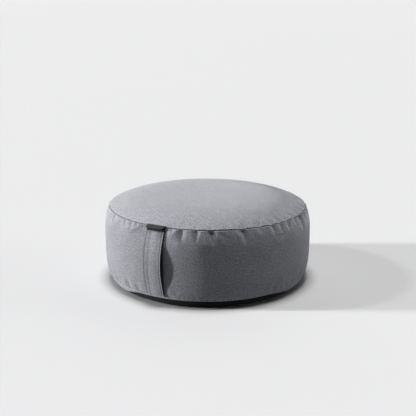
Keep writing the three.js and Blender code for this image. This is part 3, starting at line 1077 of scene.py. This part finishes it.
def cloth_material(name, colour, pitch=0.00075, contrast=1.0, sheen=0.25, seams=None):
    """A woven cloth. Seams is how dark it is in its seams and how light on the lips beside them."""
    graph = Graph(name)
    height, over = woven(graph, pitch)
    warp = graph.noise(graph.cloth_place((1, YARN_LENGTH_SHARE, 1)), YARN_GRAIN, detail=2.0, roughness=0.6)
    weft = graph.noise(graph.cloth_place((YARN_LENGTH_SHARE, 1, 1)), YARN_GRAIN, detail=2.0, roughness=0.6)
    yarn = graph.mix(over, warp, weft)
    slanted = graph.cloth_place((1, 0.5, 1), radians(40))
    speck = graph.noise(slanted, SPECK_GRAIN, detail=4.0, roughness=0.7)
    plain = graph.cloth_place()
    cloud = graph.noise(plain, CLOUD_GRAIN, detail=3.0, roughness=0.5)
    on_panel = graph.math("GREATER_THAN", graph.split(plain)[1], PANEL_CLOTH_AT / 2 * MM)
    grain = graph.times(
        graph.contrast(yarn, *FINE_NOISE, YARN_CONTRAST * contrast),
        graph.contrast(speck, *FINE_NOISE, SPECK_CONTRAST * contrast),
    )
    more = graph.math("MULTIPLY_ADD", on_panel, MORE_ON_PANELS, 1)
    tone = graph.times(
        graph.math("MULTIPLY_ADD", graph.math("SUBTRACT", grain, 1), more, 1),
        graph.contrast(cloud, *CLOUD_NOISE, CLOUD_CONTRAST),
        graph.map(height, 0, 1, *WEAVE_PAINTED_SHADE),
    )
    if seams:
        tone = graph.times(tone, seam_tone(graph, on_panel, *seams))
    coloured = graph.node("ShaderNodeVectorMath", operation="SCALE")
    coloured.inputs[0].default_value = colour
    graph.put(tone, coloured.inputs["Scale"])
    shader = graph.shader
    graph.put(coloured.outputs[0], shader.inputs["Base Color"])
    graph.put(graph.map(speck, *ROUGHNESS), shader.inputs["Roughness"])
    shader.inputs["Sheen Weight"].default_value = sheen
    shader.inputs["Sheen Roughness"].default_value = 0.5
    shader.inputs["Specular IOR Level"].default_value = 0.2
    bump = graph.node("ShaderNodeBump")
    bump.inputs["Strength"].default_value = 0.6
    bump.inputs["Distance"].default_value = 0.0002
    graph.put(graph.math("ADD", height, graph.times(speck, FUZZ_HEIGHT)), bump.inputs["Height"])
    graph.put(bump.outputs[0], shader.inputs["Normal"])
    return graph.material


# The stage

CAMERA_AZIMUTH = 28.4
CAMERA_DISTANCE = 1.3858
CAMERA_HEIGHT = 0.4921
CAMERA_PITCH = 14.978
CAMERA_LENS = 70.42
CAMERA_SHIFT = 0.0011
FROM_LEFT = CAMERA_AZIMUTH - 90

# Distant lights: azimuth, elevation, strength and angle. Two keys come from the picture's left, soft fills
# from the right and from behind, and a large one from overhead
LIGHTS = {
    "key_high": (FROM_LEFT, 34, 1.0, 4),
    "key_low": (FROM_LEFT, 10, 6.9, 5),
    "fill_right": (FROM_LEFT + 180, 8, 1.25, 30),
    "fill_right_back": (160, 30, 0.65, 60),
    "fill_left_back": (-140, 35, 0.45, 60),
    "overhead": (0, 90, 4.1, 22),
}
BACKDROP = 0.8
FLOOR_TONES = ((0.39, 0.39, 0.394, 1), (0.41, 0.41, 0.414, 1))
FLOOR_HALF_SIDE = 60
VIEW_GAMMA = 0.8


def towards(azimuth, elevation):
    turn, up = radians(azimuth), radians(elevation)
    return Vector((math.sin(turn) * math.cos(up), -math.cos(turn) * math.cos(up), math.sin(up)))


def on_stage(name, data, rotation):
    made = bpy.data.objects.new(name, data)
    made.rotation_mode = "QUATERNION"
    made.rotation_quaternion = rotation
    bpy.context.scene.collection.objects.link(made)
    return made


def camera():
    data = bpy.data.cameras.new("camera")
    data.lens = CAMERA_LENS
    data.sensor_width = 36
    data.shift_x = CAMERA_SHIFT
    made = on_stage("camera", data, (-towards(CAMERA_AZIMUTH, CAMERA_PITCH)).to_track_quat("-Z", "Y"))
    a = radians(CAMERA_AZIMUTH)
    made.location = (math.sin(a) * CAMERA_DISTANCE, -math.cos(a) * CAMERA_DISTANCE, CAMERA_HEIGHT)
    bpy.context.scene.camera = made


def lights():
    for name, (azimuth, elevation, strength, angle) in LIGHTS.items():
        data = bpy.data.lights.new(name, "SUN")
        data.energy = strength
        data.angle = radians(angle)
        on_stage(name, data, towards(azimuth, elevation).to_track_quat("Z", "Y"))


def backdrop():
    """A pale backdrop that only the camera sees, so that it adds no light."""
    world = bpy.data.worlds.new("studio")
    bpy.context.scene.world = world
    world.use_nodes = True
    background = world.node_tree.nodes["Background"]
    background.inputs[0].default_value = (BACKDROP, BACKDROP, BACKDROP, 1)
    background.inputs[1].default_value = 1
    world.cycles_visibility.diffuse = False
    world.cycles_visibility.glossy = False


def floor():
    side = FLOOR_HALF_SIDE
    points = [(-side, -side, 0), (side, -side, 0), (side, side, 0), (-side, side, 0)]
    made = new_mesh("floor", points, [(0, 1, 2, 3)])
    graph = Graph("pale_floor")
    grain = graph.node("ShaderNodeTexNoise")
    grain.inputs["Scale"].default_value = 3
    graph.put(graph.mix(grain.outputs["Fac"], *FLOOR_TONES), graph.shader.inputs["Base Color"])
    graph.shader.inputs["Roughness"].default_value = 0.8
    made.data.materials.append(graph.material)


# The pieces


def dress(piece, material, levels=1):
    piece.data.materials.append(material)
    if levels:
        smooth = piece.modifiers.new("smooth", "SUBSURF")
        smooth.levels = smooth.render_levels = levels
    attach(piece, "root")


def add_cushion():
    cover, points, p, angle, part = filled_cushion()
    end = apply_settled(points, p, angle, settle(cover, p, angle))
    end = keep_behind_handle(end, angle)
    cushion_uv(cover, p, part)
    co = np.array([v.co for v in cover.data.vertices])
    co[: end.size // 3] = end.reshape(-1, 3)
    cover.data.vertices.foreach_set("co", co.astype(np.float32).ravel())
    cover.data.update()
    dress(cover, cloth_material("grey_canvas", GREY, seams=(0.4, 1.05)))
    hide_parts("cushion")


def add_handle():
    strap = handle_strap()
    dress(strap, cloth_material("handle_canvas", GREY, seams=(0.55, 1.03)))
    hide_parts("carry_handle")
    thread = cloth_material("grey_thread", THREAD_GREY, pitch=0.0003)
    half = HANDLE_WIDTH / 2
    for name, u in (("left_topstitch", -half + LEFT_STITCH), ("right_topstitch", half - RIGHT_STITCH)):
        dress(strap_stitching(name, u), thread, levels=0)


def add_tab():
    tab = folded_tab()
    tape = cloth_material("charcoal_tape", TAPE_CHARCOAL, pitch=0.0005, contrast=0.5, seams=(1, 1))
    dress(tab, tape)
    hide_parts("tab")


def add_base():
    base = base_cloth()
    black = cloth_material("black_non_slip", BASE_BLACK, contrast=0.6, sheen=0.05)
    dress(base, black, levels=0)
    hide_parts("base")


def main():
    camera()
    lights()
    backdrop()
    floor()
    bpy.context.scene.view_settings.view_transform = "Standard"
    bpy.context.scene.view_settings.gamma = VIEW_GAMMA
    add_cushion()
    add_handle()
    add_tab()
    add_base()


main()
bpy.context.view_layer.update()
